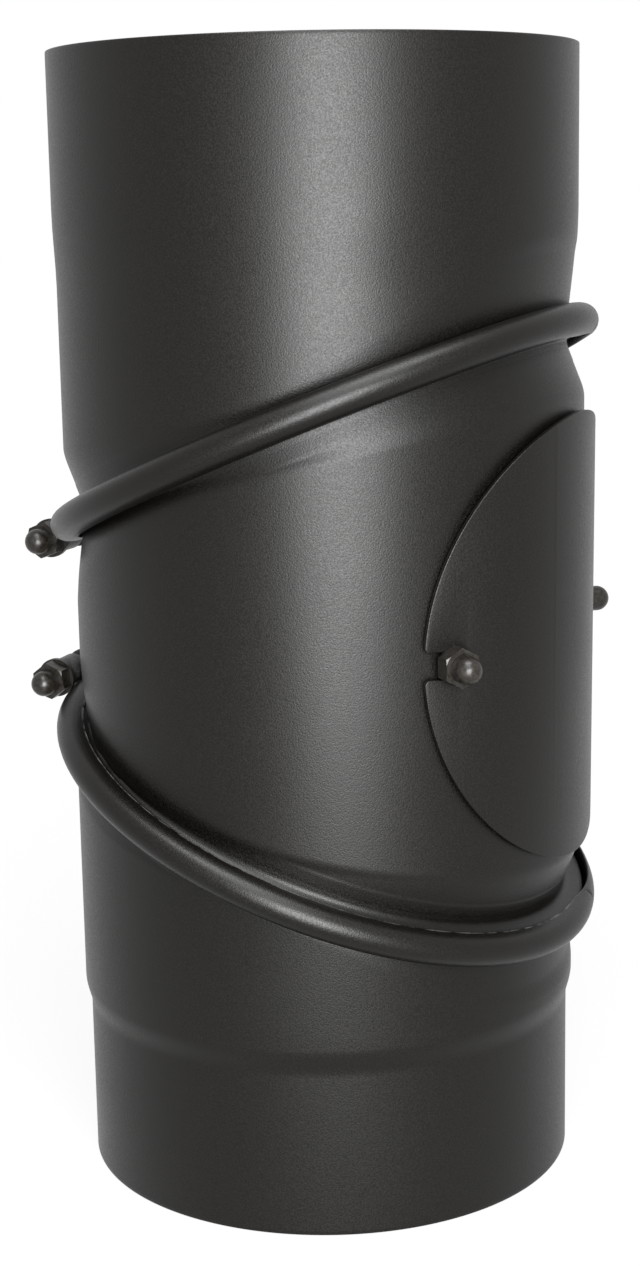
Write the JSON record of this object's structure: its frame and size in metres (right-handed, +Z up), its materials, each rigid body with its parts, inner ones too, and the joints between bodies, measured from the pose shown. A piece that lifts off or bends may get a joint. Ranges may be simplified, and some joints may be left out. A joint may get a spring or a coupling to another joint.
{
  "type": "stove pipe elbow",
  "caption": "Adjustable steel stove pipe elbow, set straight, with two clamped swivel joints and a round inspection door",
  "frame": {"origin": "centre of the spigot's open end, at the bottom", "axes": "+Z up the pipe's axis from spigot to socket, +X to the inspection door on the outer side of the bend"},
  "size_m": [0.173, 0.1754, 0.335],
  "materials": {
    "pipe_paint": "matt, fine grain, heat resistant",
    "ring_paint": "matt, worn at the edges",
    "hardware": "black, satin",
    "gasket": "woven glass fibre, matt"
  },
  "bodies": {
    "inlet": {"inlet_pipe": "pipe_paint"},
    "drum": {"drum": "pipe_paint", "lower_clamp_ring": "ring_paint", "upper_clamp_ring": "ring_paint", "lower_clamp_bolt": "hardware", "upper_clamp_bolt": "hardware", "lower_clamp_cap_nut": "hardware", "upper_clamp_cap_nut": "hardware", "lower_nut_washer": "hardware", "upper_nut_washer": "hardware", "lower_head_washer": "hardware", "upper_head_washer": "hardware", "inspection_door": "pipe_paint", "door_gasket": "gasket", "front_door_stud": "hardware", "rear_door_stud": "hardware", "front_door_cap_nut": "hardware", "rear_door_cap_nut": "hardware"},
    "outlet": {"outlet_pipe": "pipe_paint"}
  },
  "joints": [
    {"name": "lower_swivel", "type": "hinge", "parent": "inlet", "child": "drum", "pos_m": [0.0014, 0, 0.10992], "axis": [0.3827, 0, 0.9239], "continuous": true},
    {"name": "upper_swivel", "type": "hinge", "parent": "drum", "child": "outlet", "pos_m": [0.0014, 0, 0.22658], "axis": [-0.3827, 0, 0.9239], "continuous": true}
  ]
}
